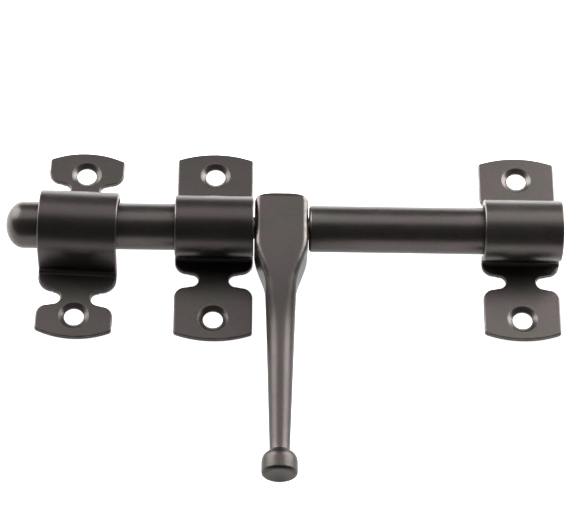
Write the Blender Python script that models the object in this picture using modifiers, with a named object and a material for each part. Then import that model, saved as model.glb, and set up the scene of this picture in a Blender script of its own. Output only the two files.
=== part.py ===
"""Sliding toggle bolt latch lying on its back, in metres.

The back faces of the straps lie on z = 0, the bar runs along X with its nose
towards -X, and the lever lies towards -Y with its knob just clear of z = 0.
"""
import bmesh
import bpy
from math import asin, cos, pi, radians, sin, sqrt, tan
from mathutils import Matrix, Vector

MM = 0.001
OBJECT = "toggle_bolt_latch"

# Driving dimensions
BAR_R = 6.35 * MM
BAR_HEIGHT = 10.0 * MM
NOSE_DEPTH = 4.8 * MM
TIP_X = -75.55 * MM
FIT_GAP = 0.3 * MM

STRAP_WIDTH = 21.3 * MM
STRAP_THICKNESS = 1.35 * MM
FOOT_BEND_R = 1.9 * MM
HOLE_R = 2.68 * MM
SINK_R = 4.1 * MM
SINK_DEPTH = 0.7 * MM
BACK_REACH = 30.3 * MM
NECK_HALF = 4.15 * MM
NOTCH_R = 2.05 * MM
NOTCH_FLARE = 0.3 * MM
EDGE_ROUND = 0.2 * MM

GUIDE_BORE_R = 6.95 * MM
GUIDE_RISE = 0.5 * MM
FRONT_GUIDE_X = -19.0 * MM
REAR_GUIDE_X = 64.9 * MM
GUIDE_WRAP = radians(125)
GUIDE_END_CROWN = 2.0 * MM
GUIDE_CORNER_R = 3.1 * MM
GUIDE_SHOULDER_R = 3.5 * MM
GUIDE_NOTCH_Y = 11.4 * MM
GUIDE_HOLE_Y = 23.0 * MM
GUIDE_HALF = 10.5 * MM
FRONT_GUIDE_HOLE_Y = 23.6 * MM
FRONT_GUIDE_REACH = 30.3 * MM
FRONT_GUIDE_HALF = 10.65 * MM
REAR_GUIDE_NOTCH_Y = 10.75 * MM
REAR_GUIDE_HOLE_Y = 22.6 * MM
REAR_GUIDE_REACH = 29.0 * MM
REAR_GUIDE_HALF = 10.4 * MM

KEEPER_BORE_R = 7.9 * MM
KEEPER_RISE = 0.5 * MM
KEEPER_X = -55.7 * MM
KEEPER_SET_BACK = 0.3 * MM
KEEPER_SKEW = radians(-2.1)
KEEPER_WRAP = radians(90)
KEEPER_END_CROWN = 2.4 * MM
KEEPER_CORNER_R = 3.6 * MM
KEEPER_SHOULDER_R = 4.2 * MM
KEEPER_FRONT_NOTCH_Y = 17.45 * MM
KEEPER_BACK_NOTCH_Y = 17.8 * MM
KEEPER_HOLE_Y = 23.0 * MM
KEEPER_FRONT_REACH = 29.85 * MM
KEEPER_HALF = 10.4 * MM

LEVER_X = -0.8 * MM
HEAD_HALF = 7.25 * MM
HEAD_DEPTH = 6.6 * MM
HEAD_REACH = 8.2 * MM
HEAD_CORNER_R = 1.6 * MM
HEAD_END_R = 2.0 * MM
HEAD_CROWN = 0.9 * MM
HEAD_TAIL = 6.0 * MM
ARM_START = 20.0 * MM
ARM_START_R = 4.15 * MM
THIN_END = 36.0 * MM
ROUND_START = 12.0 * MM
ROUND_END = 31.0 * MM
ARM_END = 65.5 * MM
ARM_END_R = 2.72 * MM
KNOB_R = 4.8 * MM
KNOB_LENGTH = 6.35 * MM
KNOB_ROUND = 1.1 * MM
KNOB_SHOULDER_DEPTH = 1.6 * MM
KNOB_SHOULDER_LENGTH = 2.7 * MM
NECK_FLARE = 0.8 * MM
LEVER_LENGTH = 73.95 * MM

STUD_R = 3.0 * MM
STUD_BITE = 12.0 * MM
BAR_CHAMFER = 0.5 * MM
BAR_END_INSET = 1.2 * MM
KNOB_CLEARANCE = 0.15 * MM
CUT_OVER = 1.0 * MM

# Resolution
BAR_STEPS = 56
HOLE_STEPS = 36
ARC_STEPS = 6
WRAP_STEPS = 26
RING_CORNER_STEPS = 8
DOME_STEPS = 10
ARM_STEPS = 10
ROUND_STEPS = 4
CROWN_STEPS = (0.05, 0.3, 1.0)
SMOOTH_ANGLE = radians(30)

# Share of a ring's half width that its corners take where the lever is fully round
ROUNDNESS = 0.999

# Worked out
STRAP_HALF = STRAP_WIDTH / 2
REST_DROP = asin((BAR_HEIGHT - KNOB_R - KNOB_CLEARANCE) / (LEVER_LENGTH - KNOB_ROUND))
BOX_FRONT = -LEVER_LENGTH * cos(REST_DROP) - (KNOB_R - KNOB_ROUND) * sin(REST_DROP)
BAR_Y = -(BOX_FRONT + BACK_REACH) / 2
BAR_END_X = REAR_GUIDE_X + STRAP_HALF - BAR_END_INSET
HEAD_LEFT = LEVER_X - HEAD_HALF
HEAD_RIGHT = LEVER_X + HEAD_HALF

for old in list(bpy.data.objects):
    bpy.data.objects.remove(old, do_unlink=True)

scene = bpy.context.scene
parts = bpy.data.collections.new(OBJECT)
cutters = bpy.data.collections.new("cutters")
scene.collection.children.link(parts)
scene.collection.children.link(cutters)


def material(name, colour, roughness):
    """Satin dark coating on metal."""
    made = bpy.data.materials.new(name)
    made.use_nodes = True
    shader = made.node_tree.nodes["Principled BSDF"]
    shader.inputs["Base Color"].default_value = (*colour, 1)
    shader.inputs["Roughness"].default_value = roughness
    shader.inputs["Metallic"].default_value = 0.0
    made.diffuse_color = (*colour, 1)
    return made


def place(name, mesh, collection):
    """Put a mesh in the scene as a named object."""
    mesh.name = name
    made = bpy.data.objects.new(name, mesh)
    collection.objects.link(made)
    if collection is cutters:
        made.hide_render = True
        made.display_type = "WIRE"
    return made


def evaluated(source):
    """Mesh of an object with its modifiers, and the object removed."""
    bpy.context.view_layer.update()
    graph = bpy.context.evaluated_depsgraph_get()
    mesh = bpy.data.meshes.new_from_object(source.evaluated_get(graph))
    bpy.data.objects.remove(source, do_unlink=True)
    work = bmesh.new()
    work.from_mesh(mesh)
    bmesh.ops.remove_doubles(work, verts=work.verts, dist=1e-7)
    bmesh.ops.recalc_face_normals(work, faces=work.faces)
    work.to_mesh(mesh)
    work.free()
    return mesh


def turned(profile, steps):
    """Solid of revolution about Z; profile is (radius, z) from top to bottom."""
    mesh = bpy.data.meshes.new("profile")
    points = [(radius, 0, z) for radius, z in profile]
    edges = [(i, i + 1) for i in range(len(points) - 1)]
    mesh.from_pydata(points, edges, [])
    made = place("profile", mesh, cutters)
    screw = made.modifiers.new("Screw", "SCREW")
    screw.axis = "Z"
    screw.steps = steps
    screw.render_steps = steps
    screw.use_merge_vertices = True
    screw.merge_threshold = 1e-6
    return evaluated(made)


def plate(outlines, half_depth):
    """Flat closed outlines in XY, thickened to half_depth either side."""
    curve = bpy.data.curves.new("outline", "CURVE")
    curve.dimensions = "2D"
    curve.fill_mode = "BOTH"
    curve.extrude = half_depth
    for outline in outlines:
        spline = curve.splines.new("POLY")
        spline.points.add(len(outline) - 1)
        for point, (x, y) in zip(spline.points, outline):
            point.co = (x, y, 0, 1)
        spline.use_cyclic_u = True
    made = bpy.data.objects.new("outline", curve)
    cutters.objects.link(made)
    return evaluated(made)


def arc(centre, radius, start, stop, steps):
    """Points on a circle from one angle to another, both ends included."""
    angles = [start + (stop - start) * i / steps for i in range(steps + 1)]
    return [(centre[0] + radius * cos(a), centre[1] + radius * sin(a)) for a in angles]


def hat_side(spec, offset):
    """One half of the strap section, from the crown out beyond the foot's end.

    offset is the distance from the strap's middle line, positive outwards.
    """
    bore_centre, wrap_angle = spec["bore_z"], spec["wrap"]
    middle_r = spec["bore_r"] + STRAP_THICKNESS / 2
    base = STRAP_THICKNESS / 2
    end_y = middle_r * sin(wrap_angle)
    end_z = bore_centre + middle_r * cos(wrap_angle)
    drop = end_z - base - FOOT_BEND_R * (1 - cos(wrap_angle))
    run = -drop / tan(wrap_angle)
    bend_y = end_y - run + FOOT_BEND_R * sin(wrap_angle)
    bend_z = base + FOOT_BEND_R
    wrap = arc((0, bore_centre), middle_r + offset, pi / 2, pi / 2 - wrap_angle, WRAP_STEPS)
    bend = arc((bend_y, bend_z), FOOT_BEND_R - offset, 3 * pi / 2 - wrap_angle, 3 * pi / 2,
               ARC_STEPS * 2)
    reach = max(side["reach"] for side in spec["sides"].values())
    return wrap + bend + [(reach, base + offset)]


def hat_section(spec):
    """Closed outline of the bent strap in the (y, z) plane."""
    outside = hat_side(spec, STRAP_THICKNESS / 2)
    inside = hat_side(spec, -STRAP_THICKNESS / 2)
    right = outside + inside[::-1]
    left = [(-y, z) for y, z in right[-2:0:-1]]
    return right + left


def side_outline(side_x, side_y, side, spec):
    """Outline cut away beside a flange, from the strap's shoulder to the flange's end."""
    beyond = STRAP_HALF + CUT_OVER
    shoulder_r, corner_r = spec["shoulder_r"], side["corner_r"]
    slot_x = NECK_HALF + NOTCH_R
    shoulder_y = side["notch_y"] - NOTCH_R - NOTCH_FLARE
    flange_y = side["notch_y"] + NOTCH_R + NOTCH_FLARE
    points = [(beyond, shoulder_y - shoulder_r)]
    points += arc((STRAP_HALF - shoulder_r, shoulder_y - shoulder_r), shoulder_r, 0, pi / 2, ARC_STEPS)
    points += arc((slot_x, side["notch_y"]), NOTCH_R, 3 * pi / 2, pi / 2, ARC_STEPS * 2)
    points += arc((side["half"] - corner_r, flange_y + corner_r), corner_r, -pi / 2, 0, ARC_STEPS)
    points += [(side["half"], side["reach"] + CUT_OVER), (beyond, side["reach"] + CUT_OVER)]
    return [(side_x * x, side_y * y) for x, y in points]


def end_outline(side_y, side, spec):
    """Outline cut away beyond a flange's crowned end."""
    half, reach, crown = side["half"], side["reach"], spec["crown"]
    radius = (half ** 2 + crown ** 2) / (2 * crown)
    spread = asin(half / radius)
    edge = arc((0, reach - radius), radius, pi / 2 - spread, pi / 2 + spread, ARC_STEPS * 3)
    corner_y = reach - crown
    beyond = STRAP_HALF + CUT_OVER
    over = max(other["reach"] for other in spec["sides"].values()) + CUT_OVER
    points = [(beyond, corner_y)] + edge + [(-beyond, corner_y), (-beyond, over), (beyond, over)]
    return [(x, side_y * y) for x, y in points]


def cut(target, cutter):
    """Subtract one object from another."""
    step = target.modifiers.new("Cut " + cutter.name, "BOOLEAN")
    step.operation = "DIFFERENCE"
    step.solver = "EXACT"
    step.object = cutter


def soften(target, width, segments, angle):
    """Round off a part's edges sharper than an angle."""
    step = target.modifiers.new("Edges", "BEVEL")
    step.width = width
    step.segments = segments
    step.limit_method = "ANGLE"
    step.angle_limit = angle
    step.use_clamp_overlap = True


def strap(name, spec):
    """Bent strap with two notched flanges, each with a countersunk hole."""
    mesh = plate([hat_section(spec)], STRAP_HALF)
    mesh.transform(Matrix(((0, 0, 1, 0), (1, 0, 0, 0), (0, 1, 0, 0), (0, 0, 0, 1))))
    made = place(name, mesh, parts)
    pose = Matrix.Translation(spec["at"]) @ Matrix.Rotation(spec["skew"], 4, "Z")
    made.matrix_world = pose
    rim = SINK_R + CUT_OVER * (SINK_R - HOLE_R) / SINK_DEPTH
    sink_z = STRAP_THICKNESS - SINK_DEPTH
    for side_y, side in spec["sides"].items():
        label = "%s %s" % (name, "back" if side_y > 0 else "front")
        edges = plate([side_outline(side_x, side_y, side, spec) for side_x in (-1, 1)],
                      2 * STRAP_THICKNESS)
        end = plate([end_outline(side_y, side, spec)], 2 * STRAP_THICKNESS + CUT_OVER)
        hole = turned([(0, STRAP_THICKNESS + CUT_OVER), (rim, STRAP_THICKNESS + CUT_OVER),
                       (HOLE_R, sink_z), (HOLE_R, -CUT_OVER), (0, -CUT_OVER)], HOLE_STEPS)
        hole.transform(Matrix.Translation((0, side_y * side["hole"], 0)))
        for kind, tool_mesh in (("sides", edges), ("end", end), ("hole", hole)):
            tool = place("%s %s cutter" % (label, kind), tool_mesh, cutters)
            tool.matrix_world = pose
            cut(made, tool)
    soften(made, EDGE_ROUND, 1, radians(50))
    return made


def ease(value, start, stop):
    """Smooth step from 0 at start to 1 at stop."""
    part = min(1.0, max(0.0, (value - start) / (stop - start)))
    return part * part * (3 - 2 * part)


def blend(near, far, part):
    """Value part of the way from near to far."""
    return near + (far - near) * part


def head_section(into):
    """Half width, half depth and corner radius of the head, into it from its crowned end."""
    shoulder = HEAD_HALF - HEAD_END_R
    crown_r = (shoulder ** 2 + HEAD_CROWN ** 2) / (2 * HEAD_CROWN)
    if into < HEAD_CROWN:
        half = sqrt(crown_r ** 2 - (crown_r - into) ** 2)
    else:
        rise = min(into - HEAD_CROWN, HEAD_END_R)
        half = shoulder + sqrt(HEAD_END_R ** 2 - (HEAD_END_R - rise) ** 2)
    rise = min(into, HEAD_END_R)
    depth = HEAD_DEPTH - HEAD_END_R + sqrt(HEAD_END_R ** 2 - (HEAD_END_R - rise) ** 2)
    return half, depth, min(HEAD_CORNER_R, half * ROUNDNESS)


def lever_section(s):
    """Half width, half depth and corner radius of the head and arm at s from the pivot."""
    if s < HEAD_TAIL:
        return head_section(s + HEAD_REACH)
    arm_half = blend(ARM_START_R, ARM_END_R, (s - ARM_START) / (ARM_END - ARM_START))
    half = arm_half
    if s < ARM_START:
        half = blend(HEAD_HALF, ARM_START_R, ease(s, HEAD_TAIL, ARM_START))
    depth = blend(HEAD_DEPTH, arm_half, ease(s, HEAD_TAIL, THIN_END))
    return half, depth, blend(HEAD_CORNER_R, half * ROUNDNESS, ease(s, ROUND_START, ROUND_END))


def knob_profile():
    """(s, radius) along the neck and the barrel-shaped knob."""
    start = LEVER_LENGTH - KNOB_LENGTH
    points = [(ARM_END + NECK_FLARE, ARM_END_R), (start - NECK_FLARE, ARM_END_R)]
    points += [(start, ARM_END_R + NECK_FLARE / 2)]
    quarter = [i / ROUND_STEPS * pi / 2 for i in range(ROUND_STEPS + 1)]
    points += [(start + KNOB_SHOULDER_LENGTH * (1 - cos(a)),
                KNOB_R - KNOB_SHOULDER_DEPTH * (1 - sin(a))) for a in quarter]
    points += [(LEVER_LENGTH - KNOB_ROUND * (1 - sin(a)), KNOB_R - KNOB_ROUND * (1 - cos(a)))
               for a in quarter]
    return points


def ring(s, half, depth, corner):
    """Rounded rectangle across the lever at s."""
    points = []
    for quarter in range(4):
        sx = (1, -1, -1, 1)[quarter]
        sz = (1, 1, -1, -1)[quarter]
        for i in range(RING_CORNER_STEPS):
            a = (quarter + i / (RING_CORNER_STEPS - 1)) * pi / 2
            x = sx * (half - corner) + corner * cos(a)
            z = sz * (depth - corner) + corner * sin(a)
            points.append((x, -s, z))
    return points


def spread(start, stop, count):
    """count values from start up to, and not including, stop."""
    return [start + (stop - start) * i / count for i in range(count)]


def lever_mesh():
    """Head, arm, neck and knob as one lofted skin."""
    quarter = [i / ROUND_STEPS * pi / 2 for i in range(1, ROUND_STEPS + 1)]
    inward = [HEAD_CROWN * part for part in CROWN_STEPS]
    inward += [HEAD_CROWN + HEAD_END_R * (1 - cos(a)) for a in quarter]
    along = [into - HEAD_REACH for into in inward]
    along += spread(HEAD_TAIL, ARM_START, ARM_STEPS) + spread(ARM_START, ARM_END, ARM_STEPS)
    along.append(ARM_END)
    stations = [(s, *lever_section(s)) for s in along]
    stations += [(s, radius, radius, radius * ROUNDNESS) for s, radius in knob_profile()]
    work = bmesh.new()
    rings = [[work.verts.new(point) for point in ring(*station)] for station in stations]
    count = len(rings[0])
    for near, far in zip(rings, rings[1:]):
        for i in range(count):
            j = (i + 1) % count
            work.faces.new((near[i], near[j], far[j], far[i]))
    work.faces.new(rings[0])
    work.faces.new(rings[-1])
    bmesh.ops.remove_doubles(work, verts=work.verts, dist=1e-7)
    bmesh.ops.recalc_face_normals(work, faces=work.faces)
    mesh = bpy.data.meshes.new("lever")
    work.to_mesh(mesh)
    work.free()
    return mesh


def flange(notch_y, hole_y, reach, half, corner_r):
    """Outline of one side of a strap; notch, hole and reach are from the bar's middle."""
    return {"notch_y": notch_y, "hole": hole_y, "reach": reach, "half": half, "corner_r": corner_r}


guide_back = flange(GUIDE_NOTCH_Y, GUIDE_HOLE_Y, BACK_REACH, GUIDE_HALF, GUIDE_CORNER_R)
front_guide_front = flange(GUIDE_NOTCH_Y, FRONT_GUIDE_HOLE_Y, FRONT_GUIDE_REACH,
                           FRONT_GUIDE_HALF, GUIDE_CORNER_R)
rear_guide_front = flange(REAR_GUIDE_NOTCH_Y, REAR_GUIDE_HOLE_Y, REAR_GUIDE_REACH,
                          REAR_GUIDE_HALF, GUIDE_CORNER_R)
keeper_front = flange(KEEPER_FRONT_NOTCH_Y, KEEPER_HOLE_Y, KEEPER_FRONT_REACH, KEEPER_HALF,
                      GUIDE_CORNER_R)
keeper_back = flange(KEEPER_BACK_NOTCH_Y, KEEPER_HOLE_Y, BACK_REACH, KEEPER_HALF, KEEPER_CORNER_R)
guide_spec = {
    "bore_z": BAR_HEIGHT + GUIDE_RISE, "bore_r": GUIDE_BORE_R, "wrap": GUIDE_WRAP,
    "crown": GUIDE_END_CROWN, "shoulder_r": GUIDE_SHOULDER_R, "skew": 0.0,
}
front_guide_spec = {
    **guide_spec, "at": Vector((FRONT_GUIDE_X, BAR_Y, 0)),
    "sides": {-1: front_guide_front, 1: guide_back},
}
rear_guide_spec = {
    **guide_spec, "at": Vector((REAR_GUIDE_X, BAR_Y, 0)),
    "sides": {-1: rear_guide_front, 1: guide_back},
}
keeper_spec = {
    "bore_z": BAR_HEIGHT + KEEPER_RISE, "bore_r": KEEPER_BORE_R, "wrap": KEEPER_WRAP,
    "crown": KEEPER_END_CROWN, "shoulder_r": KEEPER_SHOULDER_R, "skew": KEEPER_SKEW,
    "at": Vector((KEEPER_X, BAR_Y - KEEPER_SET_BACK, 0)),
    "sides": {-1: keeper_front, 1: keeper_back},
}

bar_axis = Vector((0, BAR_Y, BAR_HEIGHT))
front_guide = strap("front_guide", front_guide_spec)
rear_guide = strap("rear_guide", rear_guide_spec)
keeper = strap("keeper", keeper_spec)

# Bar: a nosed front length and a plain rear length, each bored for the stud
socket_r = STUD_R + FIT_GAP / 2
socket_depth = STUD_BITE + FIT_GAP
front_length = HEAD_LEFT - FIT_GAP - TIP_X
rear_length = BAR_END_X - HEAD_RIGHT - FIT_GAP

dome_angles = [i / DOME_STEPS * pi / 2 for i in range(DOME_STEPS + 1)]
dome = [(BAR_R * sin(a), front_length - NOSE_DEPTH * (1 - cos(a))) for a in dome_angles]
butt = [(BAR_R, BAR_CHAMFER), (BAR_R - BAR_CHAMFER, 0), (socket_r, 0), (socket_r, socket_depth),
        (0, socket_depth)]
front_mesh = turned(dome + butt, BAR_STEPS)
front_mesh.transform(Matrix.Rotation(-pi / 2, 4, "Y"))
front_rod = place("front_rod", front_mesh, parts)
front_rod.location = bar_axis + Vector((HEAD_LEFT - FIT_GAP, 0, 0))

tail = [(0, rear_length), (BAR_R - BAR_CHAMFER, rear_length), (BAR_R, rear_length - BAR_CHAMFER)]
rear_mesh = turned(tail + butt, BAR_STEPS)
rear_mesh.transform(Matrix.Rotation(pi / 2, 4, "Y"))
rear_rod = place("rear_rod", rear_mesh, parts)
rear_rod.location = bar_axis + Vector((HEAD_RIGHT + FIT_GAP, 0, 0))

# Stud that carries the lever and joins the two lengths of bar
stud_half = HEAD_HALF + FIT_GAP + STUD_BITE
stud_end = STUD_R - BAR_CHAMFER
stud = place("lever_stud", turned([
    (0, stud_half), (stud_end, stud_half), (STUD_R, stud_half - BAR_CHAMFER),
    (STUD_R, BAR_CHAMFER - stud_half), (stud_end, -stud_half), (0, -stud_half)], HOLE_STEPS), parts)
stud.data.transform(Matrix.Rotation(pi / 2, 4, "Y"))
stud.location = bar_axis + Vector((LEVER_X, 0, 0))

# Lever, bored for the stud
lever = place("lever", lever_mesh(), parts)
lever.location = bar_axis + Vector((LEVER_X, 0, 0))
lever.rotation_euler = (REST_DROP, 0, 0)
bore_half = HEAD_HALF + CUT_OVER
bore = place("lever bore cutter", turned([
    (0, bore_half), (socket_r, bore_half), (socket_r, -bore_half), (0, -bore_half)], HOLE_STEPS), cutters)
bore.data.transform(Matrix.Rotation(pi / 2, 4, "Y"))
bore.location = lever.location
cut(lever, bore)

finishes = (
    (front_guide, "guide coating front", (0.055, 0.047, 0.045), 0.36),
    (rear_guide, "guide coating rear", (0.055, 0.047, 0.045), 0.36),
    (keeper, "keeper coating", (0.055, 0.047, 0.045), 0.36),
    (front_rod, "front bar coating", (0.050, 0.043, 0.041), 0.34),
    (rear_rod, "rear bar coating", (0.050, 0.043, 0.041), 0.34),
    (lever, "lever coating", (0.052, 0.045, 0.043), 0.38),
    (stud, "bare stud steel", (0.35, 0.34, 0.33), 0.40),
)
for piece, name, colour, roughness in finishes:
    piece.data.materials.clear()
    piece.data.materials.append(material(name, colour, roughness))
    for face in piece.data.polygons:
        face.material_index = 0
    piece.data.shade_smooth()
    piece.data.set_sharp_from_angle(angle=SMOOTH_ANGLE)
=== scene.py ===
"""Looks of the sliding toggle bolt latch, in metres.

The back faces of the straps lie on z = 0, the bar runs along X with its nose
towards -X, and the lever lies towards -Y with its knob just clear of z = 0.
"""

from math import asin, cos, pi, radians, sin, sqrt, tan

import bmesh
import bpy
from mathutils import Matrix, Vector

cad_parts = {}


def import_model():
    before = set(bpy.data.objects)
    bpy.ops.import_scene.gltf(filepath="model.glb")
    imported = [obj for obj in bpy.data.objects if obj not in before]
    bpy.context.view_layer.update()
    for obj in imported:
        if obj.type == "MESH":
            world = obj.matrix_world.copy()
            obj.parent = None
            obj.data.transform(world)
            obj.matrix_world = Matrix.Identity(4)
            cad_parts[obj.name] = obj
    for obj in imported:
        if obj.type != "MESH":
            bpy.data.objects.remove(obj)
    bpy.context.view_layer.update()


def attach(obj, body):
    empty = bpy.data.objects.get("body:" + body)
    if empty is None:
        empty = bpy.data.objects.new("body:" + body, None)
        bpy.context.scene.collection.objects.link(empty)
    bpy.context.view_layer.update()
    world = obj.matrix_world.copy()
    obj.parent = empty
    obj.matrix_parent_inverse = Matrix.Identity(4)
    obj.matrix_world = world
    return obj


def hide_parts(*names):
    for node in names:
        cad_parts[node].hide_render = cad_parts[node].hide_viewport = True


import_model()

MM = 0.001

# Bar
BAR_R = 6.35 * MM
BAR_HEIGHT = 10.0 * MM
NOSE_DEPTH = 4.8 * MM
TIP_X = -75.55 * MM
BAR_CHAMFER = 0.5 * MM
CHAMFER_EASE = 0.12 * MM
BAR_END_INSET = 1.2 * MM
FIT_GAP = 0.3 * MM
STUD_R = 3.0 * MM
STUD_BITE = 12.0 * MM

# Straps
STRAP_WIDTH = 21.3 * MM
STRAP_THICKNESS = 1.35 * MM
FOOT_BEND_R = 1.9 * MM
HOLE_R = 2.68 * MM
HOLE_EDGE = 0.12 * MM
SINK_R = 4.1 * MM
SINK_DEPTH = 0.7 * MM
SINK_EDGE = 0.3 * MM
BACK_REACH = 30.3 * MM
NECK_HALF = 4.15 * MM
NOTCH_R = 2.05 * MM
NOTCH_FLARE = 0.3 * MM
END_CORNER_R = 0.9 * MM
FACE_ROUND = 0.42 * MM
BACK_ROUND = 0.18 * MM

GUIDE_BORE_R = 6.95 * MM
GUIDE_RISE = 0.5 * MM
FRONT_GUIDE_X = -19.0 * MM
REAR_GUIDE_X = 64.9 * MM
GUIDE_WRAP = radians(125)
GUIDE_END_CROWN = 2.0 * MM
GUIDE_CORNER_R = 3.1 * MM
GUIDE_SHOULDER_R = 3.5 * MM
GUIDE_NOTCH_Y = 11.4 * MM
GUIDE_HOLE_Y = 23.0 * MM
GUIDE_HALF = 10.5 * MM
FRONT_GUIDE_HOLE_Y = 23.6 * MM
FRONT_GUIDE_REACH = 30.3 * MM
FRONT_GUIDE_HALF = 10.65 * MM
REAR_GUIDE_NOTCH_Y = 10.75 * MM
REAR_GUIDE_HOLE_Y = 22.6 * MM
REAR_GUIDE_REACH = 29.0 * MM
REAR_GUIDE_HALF = 10.4 * MM

KEEPER_BORE_R = 7.9 * MM
KEEPER_RISE = 0.5 * MM
KEEPER_X = -55.7 * MM
KEEPER_SET_BACK = 0.3 * MM
KEEPER_SKEW = radians(-2.1)
KEEPER_WRAP = radians(90)
KEEPER_END_CROWN = 2.4 * MM
KEEPER_CORNER_R = 3.6 * MM
KEEPER_SHOULDER_R = 4.2 * MM
KEEPER_FRONT_NOTCH_Y = 17.45 * MM
KEEPER_BACK_NOTCH_Y = 17.8 * MM
KEEPER_HOLE_Y = 23.0 * MM
KEEPER_FRONT_REACH = 29.85 * MM
KEEPER_HALF = 10.4 * MM

# Lever
LEVER_X = -0.8 * MM
HEAD_HALF = 7.25 * MM
HEAD_DEPTH = 6.6 * MM
HEAD_REACH = 8.2 * MM
HEAD_CORNER_R = 1.6 * MM
HEAD_END_R = 2.0 * MM
HEAD_CROWN = 0.9 * MM
HEAD_TAIL = 6.0 * MM
ARM_START = 20.0 * MM
ARM_START_R = 4.15 * MM
THIN_END = 36.0 * MM
ARM_END = 65.5 * MM
ARM_END_R = 2.72 * MM
ROUND_START = 12.0 * MM
ROUND_END = 31.0 * MM
ROUNDNESS = 0.999
KNOB_R = 4.8 * MM
KNOB_LENGTH = 6.35 * MM
KNOB_ROUND = 1.1 * MM
KNOB_SHOULDER_DEPTH = 1.6 * MM
KNOB_SHOULDER_LENGTH = 2.7 * MM
NECK_FLARE = 0.8 * MM
KNOB_CLEARANCE = 0.15 * MM
LEVER_LENGTH = 73.95 * MM

# Resolution
BAR_STEPS = 144
STUD_STEPS = 72
HOLE_STEPS = 72
ARC_STEPS = 10
WRAP_STEPS = 48
BEND_STEPS = 16
EDGE_STEPS = 4
DOME_STEPS = 28
RING_CORNER_STEPS = 14
HEAD_STEPS = 8
ARM_STEPS = 30
NECK_STEPS = 4
FLARE_STEPS = 6
CROWN_STEPS = (0.04, 0.15, 0.35, 0.65, 1.0)
SMOOTH_ANGLE = radians(40)
FLAT_WEIGHT = 60
MERGE = 1e-7

# Worked out
STRAP_HALF = STRAP_WIDTH / 2
REST_DROP = asin((BAR_HEIGHT - KNOB_R - KNOB_CLEARANCE) / (LEVER_LENGTH - KNOB_ROUND))
BOX_FRONT = -LEVER_LENGTH * cos(REST_DROP) - (KNOB_R - KNOB_ROUND) * sin(REST_DROP)
BAR_Y = -(BOX_FRONT + BACK_REACH) / 2
BAR_END_X = REAR_GUIDE_X + STRAP_HALF - BAR_END_INSET
HEAD_LEFT = LEVER_X - HEAD_HALF
HEAD_RIGHT = LEVER_X + HEAD_HALF
BAR_AXIS = Vector((0, BAR_Y, BAR_HEIGHT))

# Camera
AIM = Vector((2.51 * MM, BAR_Y - 3.4 * MM, 0))
CAMERA_DISTANCE = 800 * MM
CAMERA_TILT = radians(33)
CAMERA_YAW = radians(-0.983)
CAMERA_ROLL = radians(0.162)
CAMERA_LENS = 179.47
CAMERA_SENSOR = 36.0
CAMERA_NEAR = 10.0 * MM
CAMERA_FAR = 20.0

# Finish: noise scales are in cells per metre, tints are shares of a piece's shade
MOTTLE_SCALE = 70
DRIFT_SCALE = 110
SPECK_SCALE = 2600
SPECK_SHARE = 0.35
BROWN = (1.04, 0.89, 0.86)
VIOLET = (1.14, 0.91, 0.93)
OLIVE = (0.98, 0.93, 0.80)
SPECK = (0.62, 0.56, 0.54)
COATING_METALLIC = 0.9
# Lighter colour along rounded edges: partly edge wear, partly a painted highlight for the bright
# lines the edges catch
WEAR_AND_HIGHLIGHT_SCALE = 420
WEAR_AND_HIGHLIGHT_SHARE = 0.35
WEAR_POLISH = 0.1
WORN_AND_HIGHLIGHT = (0.30, 0.27, 0.25)
SMUDGE_SCALE = 160
SMUDGE_STRETCH = (1, 2.2, 1)
SMUDGE_ROUGHNESS = 0.03
GRAIN_SCALE = 1500
GRAIN_ROUGHNESS = 0.02
PEEL_SCALE = 1100
PEEL_STRENGTH = 0.25
PEEL_DEPTH = 0.02 * MM
FINE_SCALE = 4200
FINE_STRENGTH = 0.3
FINE_DEPTH = 0.006 * MM

# Bare steel
RING_SCALE = 900
RING_STRETCH = (1, 0.02, 0.02)
RING_STRENGTH = 0.3
RING_DEPTH = 0.01 * MM
FILM_SCALE = 300
STEEL_LIGHT = (0.36, 0.35, 0.34)
STEEL_DARK = (0.25, 0.24, 0.235)
STEEL_FILM = (0.17, 0.15, 0.13)
STEEL_ROUGHNESS = (0.32, 0.50)

# Table and light; lamps are (name, azimuth, elevation, width, height, radiance)
TABLE_HALF = 3.0
TABLE_DROP = 0.05 * MM
TABLE_PAINT = 0.82
TABLE_ROUGHNESS = 0.9
TABLE_GLOW_FRONT = 0.4
TABLE_GLOW_BACK = 2.0
TABLE_GLOW_START = -20.0 * MM
TABLE_GLOW_END = 90.0 * MM
ROOM_RADIANCE = 0.10
LAMP_DISTANCE = 1.2
LAMPS = (
    ("overhead softbox", 0, 70, 1.6, 0.9, 1.8),
    ("left softbox", -52, 26, 0.9, 1.1, 7.2),
    ("right softbox", 52, 26, 0.9, 1.1, 8.4),
)

scene = bpy.context.scene


# ---------------------------------------------------------------- mesh tools

def ease(value, start, stop):
    """Smooth step from 0 at start to 1 at stop."""
    part = min(1.0, max(0.0, (value - start) / (stop - start)))
    return part * part * (3 - 2 * part)


def mix(near, far, part):
    """Value part of the way from near to far."""
    return near + (far - near) * part


def arc(centre, radius, start, stop, steps):
    """Points on a circle from one angle to another, both ends included."""
    angles = [start + (stop - start) * i / steps for i in range(steps + 1)]
    return [(centre[0] + radius * cos(a), centre[1] + radius * sin(a)) for a in angles]


def finish_mesh(work, name):
    """Turns worked geometry into a smooth piece."""
    bmesh.ops.recalc_face_normals(work, faces=work.faces)
    mesh = bpy.data.meshes.new(name)
    work.to_mesh(mesh)
    work.free()
    mesh.shade_smooth()
    mesh.set_sharp_from_angle(angle=SMOOTH_ANGLE)
    made = bpy.data.objects.new(name, mesh)
    scene.collection.objects.link(made)
    return made


def bridge(work, rings):
    """Faces between closed rings of vertices."""
    count = len(rings[0])
    for near, far in zip(rings, rings[1:]):
        for i in range(count):
            j = (i + 1) % count
            work.faces.new((near[i], near[j], far[j], far[i]))


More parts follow.
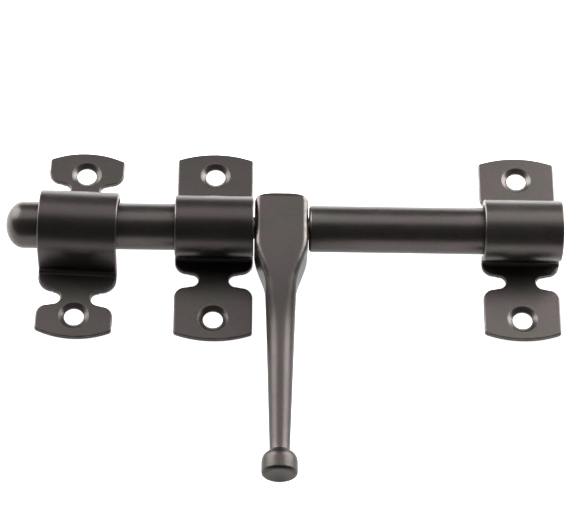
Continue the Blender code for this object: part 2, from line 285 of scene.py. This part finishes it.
def revolve(profile, steps, name):
    """Solid of revolution about Z; profile is (radius, z, edge) from top to bottom."""
    work = bmesh.new()
    edge = work.verts.layers.float.new("edge")
    rings = []
    for radius, z, share in profile:
        if radius == 0:
            rings.append([work.verts.new((0, 0, z))])
        else:
            rings.append([work.verts.new((radius * cos(2 * pi * i / steps),
                                          radius * sin(2 * pi * i / steps), z))
                          for i in range(steps)])
        for vert in rings[-1]:
            vert[edge] = share
    for near, far in zip(rings, rings[1:]):
        for i in range(steps):
            j = (i + 1) % steps
            if len(near) == 1:
                work.faces.new((near[0], far[j], far[i]))
            elif len(far) == 1:
                work.faces.new((near[i], near[j], far[0]))
            else:
                work.faces.new((near[i], near[j], far[j], far[i]))
    return finish_mesh(work, name)


def inset(outline, distance):
    """Counter-clockwise outline moved inwards."""
    moved = []
    count = len(outline)
    for i, (x, y) in enumerate(outline):
        before, after = outline[i - 1], outline[(i + 1) % count]
        normals = []
        for start, stop in ((before, (x, y)), ((x, y), after)):
            dx, dy = stop[0] - start[0], stop[1] - start[1]
            size = sqrt(dx * dx + dy * dy)
            normals.append((-dy / size, dx / size))
        nx = normals[0][0] + normals[1][0]
        ny = normals[0][1] + normals[1][1]
        reach = distance * 2 / (nx * nx + ny * ny)
        moved.append((x + nx * reach, y + ny * reach))
    return moved


def weighted(made):
    """Flat faces stay flat beside their rounded edges."""
    step = made.modifiers.new("Weighted normals", "WEIGHTED_NORMAL")
    step.mode = "FACE_AREA"
    step.weight = FLAT_WEIGHT
    step.keep_sharp = True


# -------------------------------------------------------------------- straps

def quadrant(spec, side):
    """A quarter of the flat blank's outline, from beside the bar out to the end's middle."""
    shoulder_r, corner_r = spec["shoulder_r"], side["corner_r"]
    slot_x = NECK_HALF + NOTCH_R
    shoulder_y = side["notch_y"] - NOTCH_R - NOTCH_FLARE
    flange_y = side["notch_y"] + NOTCH_R + NOTCH_FLARE
    half, reach, crown = side["half"], side["reach"], spec["crown"]
    points = arc((STRAP_HALF - shoulder_r, shoulder_y - shoulder_r), shoulder_r, 0, pi / 2, ARC_STEPS)
    points += arc((slot_x, side["notch_y"]), NOTCH_R, 3 * pi / 2, pi / 2, ARC_STEPS * 2)
    points += arc((half - corner_r, flange_y + corner_r), corner_r, -pi / 2, 0, ARC_STEPS)
    radius = (half ** 2 + crown ** 2) / (2 * crown)
    middle_y = reach - radius
    inner_x = half - END_CORNER_R
    corner_y = middle_y + sqrt((radius - END_CORNER_R) ** 2 - inner_x ** 2)
    turn = pi / 2 - asin(inner_x / (radius - END_CORNER_R))
    points += arc((inner_x, corner_y), END_CORNER_R, 0, turn, ARC_STEPS)
    points += arc((0, middle_y), radius, turn, pi / 2, ARC_STEPS * 2)[1:]
    return points


def bends(spec):
    """Where the strap's middle line leaves the wrap, starts its foot bend and lies flat."""
    wrap_angle = spec["wrap"]
    middle_r = spec["bore_r"] + STRAP_THICKNESS / 2
    end_y = middle_r * sin(wrap_angle)
    end_z = spec["bore_z"] + middle_r * cos(wrap_angle)
    drop = end_z - STRAP_THICKNESS / 2 - FOOT_BEND_R * (1 - cos(wrap_angle))
    leg = drop / sin(wrap_angle)
    wrap_end = middle_r * wrap_angle
    leg_end = wrap_end + leg
    return {
        "middle_r": middle_r, "end_y": end_y, "end_z": end_z, "wrap_end": wrap_end,
        "leg_end": leg_end, "foot_start": leg_end + FOOT_BEND_R * wrap_angle,
        "foot_y": end_y + leg * cos(wrap_angle) + FOOT_BEND_R * sin(wrap_angle),
    }


def bent(spec, line, along, offset):
    """(y, z) of a point of the blank, by its distance along the strap and out from its middle.

    line is what bends gives for the strap.
    """
    wrap_angle = spec["wrap"]
    side = -1 if along < 0 else 1
    u = abs(along)
    if u <= line["wrap_end"]:
        a = u / line["middle_r"]
        y = (line["middle_r"] + offset) * sin(a)
        z = spec["bore_z"] + (line["middle_r"] + offset) * cos(a)
    elif u <= line["leg_end"]:
        run = u - line["wrap_end"]
        y = line["end_y"] + run * cos(wrap_angle) + offset * sin(wrap_angle)
        z = line["end_z"] - run * sin(wrap_angle) + offset * cos(wrap_angle)
    elif u <= line["foot_start"]:
        a = 3 * pi / 2 - wrap_angle + (u - line["leg_end"]) / FOOT_BEND_R
        y = line["foot_y"] + (FOOT_BEND_R - offset) * cos(a)
        z = STRAP_THICKNESS / 2 + FOOT_BEND_R + (FOOT_BEND_R - offset) * sin(a)
    else:
        y = line["foot_y"] + u - line["foot_start"]
        z = STRAP_THICKNESS / 2 + offset
    return side * y, z


def strap_edge():
    """(inset, height, edge) round the strap's edge, from its back face to its front."""
    angles = [i / EDGE_STEPS * pi / 2 for i in range(EDGE_STEPS + 1)]
    back = [(BACK_ROUND * (1 - sin(a)), BACK_ROUND * (1 - cos(a)), sin(2 * a)) for a in angles]
    face = [(FACE_ROUND * (1 - cos(a)), STRAP_THICKNESS - FACE_ROUND * (1 - sin(a)), sin(2 * a))
            for a in angles]
    return back + face


def hole_edge():
    """(radius, height, edge) through a countersunk hole, from the back face to the front."""
    sink_z = STRAP_THICKNESS - SINK_DEPTH
    turn = asin(SINK_DEPTH / sqrt(SINK_DEPTH ** 2 + (SINK_R - HOLE_R) ** 2))
    rim_r = SINK_R + SINK_EDGE * tan(turn / 2)
    profile = [(HOLE_R + HOLE_EDGE, 0, 0), (HOLE_R, HOLE_EDGE, 1), (HOLE_R, sink_z - HOLE_EDGE, 0),
               (HOLE_R + HOLE_EDGE / 2, sink_z, 1)]
    for i in range(EDGE_STEPS + 1):
        a = turn * (1 - i / EDGE_STEPS)
        profile.append((rim_r - SINK_EDGE * sin(a), STRAP_THICKNESS - SINK_EDGE * (1 - cos(a)),
                        sin(pi * i / EDGE_STEPS)))
    return profile


def strap(name, spec):
    """Stamped strap bent over the bar, with two notched flanges and countersunk holes."""
    line = bends(spec)
    stretch = line["foot_start"] - line["foot_y"]
    back, front = [[(x, y + stretch) for x, y in quadrant(spec, spec["sides"][way])]
                   for way in (1, -1)]
    outline = back + [(-x, y) for x, y in back[-2::-1]]
    outline += [(-x, -y) for x, y in front] + [(x, -y) for x, y in front[-2::-1]]
    work = bmesh.new()
    edge = work.verts.layers.float.new("edge")

    def ring(points, height, share):
        made = [work.verts.new((x, y, height)) for x, y in points]
        for vert in made:
            vert[edge] = share
        return made

    rings = [ring(inset(outline, by), height, share) for by, height, share in strap_edge()]
    bridge(work, rings)
    loops = [rings]
    for way, side in spec["sides"].items():
        centre = (0, way * (side["hole"] + stretch))
        circles = [ring(arc(centre, radius, 0, 2 * pi, HOLE_STEPS)[:-1], height, share)
                   for radius, height, share in hole_edge()]
        bridge(work, circles)
        loops.append(circles)
    for level in (0, -1):
        rim = []
        for verts in (loop[level] for loop in loops):
            rim += [work.edges.get((verts[i - 1], verts[i])) for i in range(len(verts))]
        bmesh.ops.triangle_fill(work, use_beauty=True, edges=rim, normal=(0, 0, 1))

    rows = [line["wrap_end"] * i / WRAP_STEPS for i in range(WRAP_STEPS + 1)]
    rows += [mix(line["leg_end"], line["foot_start"], i / BEND_STEPS) for i in range(BEND_STEPS + 1)]
    for row in [-row for row in rows[:0:-1]] + rows:
        everything = work.verts[:] + work.edges[:] + work.faces[:]
        bmesh.ops.bisect_plane(work, geom=everything, dist=MERGE, plane_co=(0, row, 0),
                               plane_no=(0, 1, 0))
    pose = Matrix.Translation(spec["at"]) @ Matrix.Rotation(spec["skew"], 4, "Z")
    for vert in work.verts:
        y, z = bent(spec, line, vert.co.y, vert.co.z - STRAP_THICKNESS / 2)
        vert.co = pose @ Vector((vert.co.x, y, z))
    made = finish_mesh(work, name)
    weighted(made)
    return made


# --------------------------------------------------------------- bar and stud

def butt_profile(socket_r, socket_depth):
    """(radius, z, edge) of a bar end that meets the lever's head, with its stud socket."""
    return [(BAR_R, BAR_CHAMFER + CHAMFER_EASE, 0), (BAR_R - CHAMFER_EASE / 3, BAR_CHAMFER, 1),
            (BAR_R - BAR_CHAMFER, CHAMFER_EASE / 3, 1), (BAR_R - BAR_CHAMFER - CHAMFER_EASE, 0, 0),
            (socket_r + CHAMFER_EASE, 0, 0), (socket_r, CHAMFER_EASE, 1),
            (socket_r, socket_depth, 0), (0, socket_depth, 0)]


def bar_front():
    """Nosed front length of the bar."""
    length = HEAD_LEFT - FIT_GAP - TIP_X
    angles = [i / DOME_STEPS * pi / 2 for i in range(DOME_STEPS + 1)]
    nose = [(BAR_R * sin(a), length - NOSE_DEPTH * (1 - cos(a)), 0) for a in angles]
    nose[0] = (0, length, 0)
    made = revolve(nose + butt_profile(STUD_R + FIT_GAP / 2, STUD_BITE + FIT_GAP), BAR_STEPS,
                   "bar_front")
    made.data.transform(Matrix.Rotation(-pi / 2, 4, "Y"))
    made.data.transform(Matrix.Translation(BAR_AXIS + Vector((HEAD_LEFT - FIT_GAP, 0, 0))))
    return made


def bar_rear():
    """Plain rear length of the bar."""
    length = BAR_END_X - HEAD_RIGHT - FIT_GAP
    tail = [(0, length, 0), (BAR_R - BAR_CHAMFER - CHAMFER_EASE, length, 0),
            (BAR_R - BAR_CHAMFER, length - CHAMFER_EASE / 3, 1),
            (BAR_R - CHAMFER_EASE / 3, length - BAR_CHAMFER, 1),
            (BAR_R, length - BAR_CHAMFER - CHAMFER_EASE, 0)]
    made = revolve(tail + butt_profile(STUD_R + FIT_GAP / 2, STUD_BITE + FIT_GAP), BAR_STEPS,
                   "bar_rear")
    made.data.transform(Matrix.Rotation(pi / 2, 4, "Y"))
    made.data.transform(Matrix.Translation(BAR_AXIS + Vector((HEAD_RIGHT + FIT_GAP, 0, 0))))
    return made


def stud():
    """Turned stud through the lever's head."""
    half = HEAD_HALF + FIT_GAP + STUD_BITE
    end_r = STUD_R - BAR_CHAMFER
    top = [(0, half, 0), (end_r, half, 0), (STUD_R, half - BAR_CHAMFER, 1),
           (STUD_R, half - 2 * BAR_CHAMFER, 0)]
    made = revolve(top + [(radius, -z, share) for radius, z, share in top[::-1]], STUD_STEPS,
                   "stud")
    made.data.transform(Matrix.Rotation(pi / 2, 4, "Y"))
    made.data.transform(Matrix.Translation(BAR_AXIS + Vector((LEVER_X, 0, 0))))
    return made


# --------------------------------------------------------------------- lever

def head_section(into):
    """Half width, half depth and corner radius of the head, into it from its crowned end."""
    shoulder = HEAD_HALF - HEAD_END_R
    crown_r = (shoulder ** 2 + HEAD_CROWN ** 2) / (2 * HEAD_CROWN)
    if into < HEAD_CROWN:
        half = sqrt(crown_r ** 2 - (crown_r - into) ** 2)
    else:
        rise = min(into - HEAD_CROWN, HEAD_END_R)
        half = shoulder + sqrt(HEAD_END_R ** 2 - (HEAD_END_R - rise) ** 2)
    rise = min(into, HEAD_END_R)
    depth = HEAD_DEPTH - HEAD_END_R + sqrt(HEAD_END_R ** 2 - (HEAD_END_R - rise) ** 2)
    return half, depth, min(HEAD_CORNER_R, half * ROUNDNESS)


def lever_section(s):
    """Half width, half depth and corner radius of the head and arm at s from the pivot."""
    if s < HEAD_TAIL:
        return head_section(s + HEAD_REACH)
    arm_half = mix(ARM_START_R, ARM_END_R, (s - ARM_START) / (ARM_END - ARM_START))
    half = arm_half
    if s < ARM_START:
        half = mix(HEAD_HALF, ARM_START_R, ease(s, HEAD_TAIL, ARM_START))
    depth = mix(HEAD_DEPTH, arm_half, ease(s, HEAD_TAIL, THIN_END))
    return half, depth, mix(HEAD_CORNER_R, half * ROUNDNESS, ease(s, ROUND_START, ROUND_END))


def knob_profile():
    """(s, radius) along the neck and the barrel-shaped knob."""
    start = LEVER_LENGTH - KNOB_LENGTH
    neck = start - NECK_FLARE
    points = [(mix(ARM_END, neck, i / NECK_STEPS), ARM_END_R) for i in range(1, NECK_STEPS)]
    points += [(neck + NECK_FLARE * i / FLARE_STEPS,
                ARM_END_R + NECK_FLARE / 2 * ease(i, 0, FLARE_STEPS)) for i in range(FLARE_STEPS + 1)]
    quarter = [i / HEAD_STEPS * pi / 2 for i in range(HEAD_STEPS + 1)]
    points += [(start + KNOB_SHOULDER_LENGTH * (1 - cos(a)),
                KNOB_R - KNOB_SHOULDER_DEPTH * (1 - sin(a))) for a in quarter]
    points += [(LEVER_LENGTH - KNOB_ROUND * (1 - sin(a)), KNOB_R - KNOB_ROUND * (1 - cos(a)))
               for a in quarter]
    return points


def bore(made):
    """Cuts the stud's hole through the lever's head."""
    radius, half = STUD_R + FIT_GAP / 2, 2 * HEAD_HALF
    tool = revolve([(0, half, 0), (radius, half, 0), (radius, -half, 0), (0, -half, 0)], STUD_STEPS,
                   "bore")
    tool.data.transform(Matrix.Rotation(pi / 2, 4, "Y"))
    tool.data.transform(Matrix.Translation(BAR_AXIS + Vector((LEVER_X, 0, 0))))
    step = made.modifiers.new("Bore", "BOOLEAN")
    step.operation = "DIFFERENCE"
    step.solver = "EXACT"
    step.object = tool
    graph = bpy.context.evaluated_depsgraph_get()
    made.data = bpy.data.meshes.new_from_object(made.evaluated_get(graph))
    made.modifiers.clear()
    bpy.data.objects.remove(tool, do_unlink=True)


def lever_ring(work, edge, s, half, depth, corner):
    """Rounded rectangle across the lever at s."""
    ring = []
    sharpness = 1 - ease(corner, HEAD_CORNER_R, 2 * HEAD_CORNER_R)
    for quarter in range(4):
        sx = (1, -1, -1, 1)[quarter]
        sz = (1, 1, -1, -1)[quarter]
        for i in range(RING_CORNER_STEPS):
            turn = i / (RING_CORNER_STEPS - 1)
            a = (quarter + turn) * pi / 2
            vert = work.verts.new((sx * (half - corner) + corner * cos(a), -s,
                                   sz * (depth - corner) + corner * sin(a)))
            vert[edge] = sharpness * sin(pi * turn)
            ring.append(vert)
    return ring


def lever():
    """Head, arm, neck and knob as one lofted skin."""
    quarter = [i / HEAD_STEPS * pi / 2 for i in range(1, HEAD_STEPS + 1)]
    inward = [HEAD_CROWN * part for part in CROWN_STEPS]
    inward += [HEAD_CROWN + HEAD_END_R * (1 - cos(a)) for a in quarter]
    along = [into - HEAD_REACH for into in inward]
    along += [mix(HEAD_TAIL, ARM_START, i / ARM_STEPS) for i in range(ARM_STEPS)]
    along += [mix(ARM_START, ARM_END, i / ARM_STEPS) for i in range(ARM_STEPS + 1)]
    stations = [(s, *lever_section(s)) for s in along]
    stations += [(s, radius, radius, radius * ROUNDNESS) for s, radius in knob_profile()]
    work = bmesh.new()
    edge = work.verts.layers.float.new("edge")
    rings = [lever_ring(work, edge, *station) for station in stations]
    bridge(work, rings)
    work.faces.new(rings[0])
    work.faces.new(rings[-1][::-1])
    bmesh.ops.remove_doubles(work, verts=work.verts, dist=MERGE)
    pose = Matrix.Translation(BAR_AXIS + Vector((LEVER_X, 0, 0))) @ Matrix.Rotation(REST_DROP, 4, "X")
    bmesh.ops.transform(work, matrix=pose, verts=work.verts)
    made = finish_mesh(work, "lever_body")
    bore(made)
    made.data.set_sharp_from_angle(angle=SMOOTH_ANGLE)
    weighted(made)
    return made


# ----------------------------------------------------------------- materials

class Nodes:
    """Short names for wiring one material."""

    def __init__(self, name):
        self.material = bpy.data.materials.new(name)
        self.material.use_nodes = True
        self.tree = self.material.node_tree
        self.shader = self.tree.nodes["Principled BSDF"]
        self.place = self.add("ShaderNodeTexCoord").outputs["Object"]

    def add(self, kind, **settings):
        made = self.tree.nodes.new(kind)
        for key, value in settings.items():
            setattr(made, key, value)
        return made

    def link(self, source, target):
        self.tree.links.new(source, target)

    def noise(self, scale, detail, offset=0.0, stretch=(1, 1, 1)):
        moved = self.add("ShaderNodeMapping")
        moved.inputs["Location"].default_value = (offset, offset / 2, -offset)
        moved.inputs["Scale"].default_value = stretch
        self.link(self.place, moved.inputs["Vector"])
        made = self.add("ShaderNodeTexNoise")
        made.inputs["Scale"].default_value = scale
        made.inputs["Detail"].default_value = detail
        self.link(moved.outputs["Vector"], made.inputs["Vector"])
        return made.outputs["Fac"]

    def remap(self, source, low, high, to_low, to_high):
        made = self.add("ShaderNodeMapRange")
        made.inputs["From Min"].default_value = low
        made.inputs["From Max"].default_value = high
        made.inputs["To Min"].default_value = to_low
        made.inputs["To Max"].default_value = to_high
        self.link(source, made.inputs["Value"])
        return made.outputs["Result"]

    def math(self, operation, first, second):
        made = self.add("ShaderNodeMath", operation=operation)
        for socket, value in zip(made.inputs, (first, second)):
            if isinstance(value, float):
                socket.default_value = value
            else:
                self.link(value, socket)
        return made.outputs["Value"]

    def blend(self, share, near, far):
        made = self.add("ShaderNodeMix", data_type="RGBA")
        self.link(share, made.inputs["Factor"])
        for socket, value in ((made.inputs[6], near), (made.inputs[7], far)):
            if isinstance(value, tuple):
                socket.default_value = (*value, 1)
            else:
                self.link(value, socket)
        return made.outputs[2]

    def bump(self, height, strength, depth):
        made = self.add("ShaderNodeBump")
        made.inputs["Strength"].default_value = strength
        made.inputs["Distance"].default_value = depth
        self.link(height, made.inputs["Height"])
        return made


def tinted(shade, tint):
    """A colour from its brightness and its tint."""
    return tuple(shade * part for part in tint)


def coating(name, shade, roughness, seed):
    """Dark bronze-black finish: mottled, faintly dimpled, lighter along its edges, partly as wear and
    partly as painted highlight.
    """
    n = Nodes(name)
    mottle = n.remap(n.noise(MOTTLE_SCALE, 3, seed), 0.40, 0.62, 0.0, 1.0)
    drift = n.remap(n.noise(DRIFT_SCALE, 3, seed + 3.0), 0.45, 0.65, 0.0, 1.0)
    speck = n.remap(n.noise(SPECK_SCALE, 2, seed + 5.0), 0.35, 0.70, 0.0, SPECK_SHARE)
    colour = n.blend(mottle, tinted(shade, BROWN), tinted(shade, VIOLET))
    colour = n.blend(drift, colour, tinted(shade, OLIVE))
    colour = n.blend(speck, colour, tinted(shade, SPECK))
    rim = n.add("ShaderNodeAttribute", attribute_name="edge").outputs["Fac"]
    # Edge lightening, partly wear and partly a painted highlight along the rounded edges
    patches = n.remap(n.noise(WEAR_AND_HIGHLIGHT_SCALE, 4, seed + 7.0), 0.35, 0.65, 0.3, 1.0)
    wear_and_highlight = n.math("MULTIPLY", n.math("MULTIPLY", rim, patches), WEAR_AND_HIGHLIGHT_SHARE)
    n.link(n.blend(wear_and_highlight, colour, WORN_AND_HIGHLIGHT), n.shader.inputs["Base Color"])
    smudge = n.remap(n.noise(SMUDGE_SCALE, 4, seed + 9.0, SMUDGE_STRETCH), 0.3, 0.7,
                     roughness - SMUDGE_ROUGHNESS, roughness + SMUDGE_ROUGHNESS)
    grain = n.remap(n.noise(GRAIN_SCALE, 2, seed + 11.0), 0.3, 0.7, -GRAIN_ROUGHNESS, GRAIN_ROUGHNESS)
    polish = n.math("MULTIPLY", wear_and_highlight, WEAR_POLISH)
    n.link(n.math("SUBTRACT", n.math("ADD", smudge, grain), polish), n.shader.inputs["Roughness"])
    n.shader.inputs["Metallic"].default_value = COATING_METALLIC
    peel = n.bump(n.noise(PEEL_SCALE, 2, seed + 13.0), PEEL_STRENGTH, PEEL_DEPTH)
    fine = n.bump(n.noise(FINE_SCALE, 2, seed + 15.0), FINE_STRENGTH, FINE_DEPTH)
    n.link(peel.outputs["Normal"], fine.inputs["Normal"])
    n.link(fine.outputs["Normal"], n.shader.inputs["Normal"])
    return n.material


def steel(name, seed):
    """Turned bare steel with fine rings and a greasy film."""
    n = Nodes(name)
    rings = n.noise(RING_SCALE, 3, seed, RING_STRETCH)
    film = n.remap(n.noise(FILM_SCALE, 3, seed + 2.0), 0.4, 0.65, 0.0, 1.0)
    colour = n.blend(n.remap(rings, 0.3, 0.7, 0.0, 1.0), STEEL_LIGHT, STEEL_DARK)
    n.link(n.blend(film, colour, STEEL_FILM), n.shader.inputs["Base Color"])
    n.link(n.remap(film, 0.0, 1.0, *STEEL_ROUGHNESS), n.shader.inputs["Roughness"])
    n.shader.inputs["Metallic"].default_value = 1.0
    grooves = n.bump(rings, RING_STRENGTH, RING_DEPTH)
    n.link(grooves.outputs["Normal"], n.shader.inputs["Normal"])
    return n.material


# -------------------------------------------------------------------- pieces

def flange(notch_y, hole_y, reach, half, corner_r):
    """Outline of one side of a strap; notch, hole and reach are from the bar's middle."""
    return {"notch_y": notch_y, "hole": hole_y, "reach": reach, "half": half, "corner_r": corner_r}


guide_back = flange(GUIDE_NOTCH_Y, GUIDE_HOLE_Y, BACK_REACH, GUIDE_HALF, GUIDE_CORNER_R)
front_guide_front = flange(GUIDE_NOTCH_Y, FRONT_GUIDE_HOLE_Y, FRONT_GUIDE_REACH,
                           FRONT_GUIDE_HALF, GUIDE_CORNER_R)
rear_guide_front = flange(REAR_GUIDE_NOTCH_Y, REAR_GUIDE_HOLE_Y, REAR_GUIDE_REACH,
                          REAR_GUIDE_HALF, GUIDE_CORNER_R)
keeper_front = flange(KEEPER_FRONT_NOTCH_Y, KEEPER_HOLE_Y, KEEPER_FRONT_REACH, KEEPER_HALF,
                      GUIDE_CORNER_R)
keeper_back = flange(KEEPER_BACK_NOTCH_Y, KEEPER_HOLE_Y, BACK_REACH, KEEPER_HALF, KEEPER_CORNER_R)
guide_spec = {
    "bore_z": BAR_HEIGHT + GUIDE_RISE, "bore_r": GUIDE_BORE_R, "wrap": GUIDE_WRAP,
    "crown": GUIDE_END_CROWN, "shoulder_r": GUIDE_SHOULDER_R, "skew": 0.0,
}
front_guide_spec = {
    **guide_spec, "at": Vector((FRONT_GUIDE_X, BAR_Y, 0)),
    "sides": {-1: front_guide_front, 1: guide_back},
}
rear_guide_spec = {
    **guide_spec, "at": Vector((REAR_GUIDE_X, BAR_Y, 0)),
    "sides": {-1: rear_guide_front, 1: guide_back},
}
keeper_spec = {
    "bore_z": BAR_HEIGHT + KEEPER_RISE, "bore_r": KEEPER_BORE_R, "wrap": KEEPER_WRAP,
    "crown": KEEPER_END_CROWN, "shoulder_r": KEEPER_SHOULDER_R, "skew": KEEPER_SKEW,
    "at": Vector((KEEPER_X, BAR_Y - KEEPER_SET_BACK, 0)),
    "sides": {-1: keeper_front, 1: keeper_back},
}

# Piece, body, the node it stands for, and its finish by shade, roughness and seed
pieces = (
    (strap("guide_front_strap", front_guide_spec), "guides", "front_guide",
     coating("front guide finish", 0.054, 0.35, 1.0)),
    # The rear guide's shade is set lighter than the front guide's: painted light standing for the
    # stronger light falling from the right
    (strap("guide_rear_strap", rear_guide_spec), "guides", "rear_guide",
     coating("rear guide finish with painted light", 0.082, 0.35, 21.0)),
    (strap("keeper_strap", keeper_spec), "keeper", "keeper",
     coating("keeper finish", 0.053, 0.36, 41.0)),
    (bar_front(), "bolt", "front_rod", coating("front bar finish", 0.070, 0.34, 61.0)),
    # The rear bar's shade is a little lighter than the front bar's: painted light standing for the
    # stronger light from the right
    (bar_rear(), "bolt", "rear_rod", coating("rear bar finish with painted light", 0.074, 0.34, 81.0)),
    (lever(), "lever", "lever", coating("lever finish", 0.058, 0.35, 101.0)),
    (stud(), "bolt", "lever_stud", steel("stud steel", 121.0)),
)
for piece, body, node, finish in pieces:
    piece.data.materials.append(finish)
    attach(piece, body)
    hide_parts(node)


# --------------------------------------------------------------------- stage

def floor():
    """Pale table that glows more towards its back, and is white wherever the camera sees it."""
    work = bmesh.new()
    half = TABLE_HALF
    work.faces.new([work.verts.new((x, y, -TABLE_DROP)) for x, y in
                    ((-half, -half), (half, -half), (half, half), (-half, half))])
    mesh = bpy.data.meshes.new("table")
    work.to_mesh(mesh)
    work.free()
    made = bpy.data.objects.new("table", mesh)
    scene.collection.objects.link(made)
    pale = bpy.data.materials.new("pale table")
    pale.use_nodes = True
    tree = pale.node_tree
    shader = tree.nodes["Principled BSDF"]
    shader.inputs["Base Color"].default_value = (TABLE_PAINT, TABLE_PAINT, TABLE_PAINT, 1)
    shader.inputs["Roughness"].default_value = TABLE_ROUGHNESS
    shader.inputs["Emission Color"].default_value = (1, 1, 1, 1)
    place = tree.nodes.new("ShaderNodeTexCoord")
    split = tree.nodes.new("ShaderNodeSeparateXYZ")
    glow = tree.nodes.new("ShaderNodeMapRange")
    glow.inputs["From Min"].default_value = TABLE_GLOW_START
    glow.inputs["From Max"].default_value = TABLE_GLOW_END
    glow.inputs["To Min"].default_value = TABLE_GLOW_FRONT
    glow.inputs["To Max"].default_value = TABLE_GLOW_BACK
    path = tree.nodes.new("ShaderNodeLightPath")
    seen = tree.nodes.new("ShaderNodeMath")
    seen.operation = "MAXIMUM"
    tree.links.new(place.outputs["Object"], split.inputs["Vector"])
    tree.links.new(split.outputs["Y"], glow.inputs["Value"])
    tree.links.new(glow.outputs["Result"], seen.inputs[0])
    tree.links.new(path.outputs["Is Camera Ray"], seen.inputs[1])
    tree.links.new(seen.outputs["Value"], shader.inputs["Emission Strength"])
    mesh.materials.append(pale)


def softbox(name, azimuth, elevation, width, height, radiance):
    """Area light facing the object; azimuth 0 is straight behind it, 90 to its right."""
    lamp = bpy.data.lights.new(name, "AREA")
    lamp.shape = "RECTANGLE"
    lamp.size = width
    lamp.size_y = height
    lamp.energy = radiance * width * height * pi
    made = bpy.data.objects.new(name, lamp)
    scene.collection.objects.link(made)
    a, e = radians(azimuth), radians(elevation)
    out = Vector((sin(a) * cos(e), cos(a) * cos(e), sin(e)))
    made.location = AIM + out * LAMP_DISTANCE
    made.rotation_mode = "QUATERNION"
    made.rotation_quaternion = out.to_track_quat("Z", "Y")
    made.visible_camera = False


def world(radiance):
    """Dim room light, with a white surround where the camera looks past the table."""
    made = bpy.data.worlds.new("studio")
    scene.world = made
    made.use_nodes = True
    tree = made.node_tree
    room = tree.nodes["Background"]
    room.inputs["Color"].default_value = (radiance, radiance, radiance, 1)
    seen = tree.nodes.new("ShaderNodeBackground")
    seen.inputs["Color"].default_value = (1, 1, 1, 1)
    path = tree.nodes.new("ShaderNodeLightPath")
    choose = tree.nodes.new("ShaderNodeMixShader")
    tree.links.new(path.outputs["Is Camera Ray"], choose.inputs["Fac"])
    tree.links.new(room.outputs["Background"], choose.inputs[1])
    tree.links.new(seen.outputs["Background"], choose.inputs[2])
    tree.links.new(choose.outputs["Shader"], tree.nodes["World Output"].inputs["Surface"])


def camera():
    """Long lens above and in front of the object."""
    lens = bpy.data.cameras.new("camera")
    lens.lens = CAMERA_LENS
    lens.sensor_width = CAMERA_SENSOR
    lens.clip_start = CAMERA_NEAR
    lens.clip_end = CAMERA_FAR
    made = bpy.data.objects.new("camera", lens)
    scene.collection.objects.link(made)
    back = Vector((sin(CAMERA_YAW), -sin(CAMERA_TILT) * cos(CAMERA_YAW),
                   cos(CAMERA_TILT) * cos(CAMERA_YAW)))
    right = (-back).cross(Vector((0, 1, 0))).normalized()
    up = back.cross(right)
    turned = Matrix.Rotation(CAMERA_ROLL, 3, back)
    right, up = turned @ right, turned @ up
    axes = Matrix((right, up, back)).transposed().to_4x4()
    made.matrix_world = Matrix.Translation(AIM + back * CAMERA_DISTANCE) @ axes
    scene.camera = made


floor()
world(ROOM_RADIANCE)
for lamp in LAMPS:
    softbox(*lamp)
camera()
scene.view_settings.view_transform = "Standard"
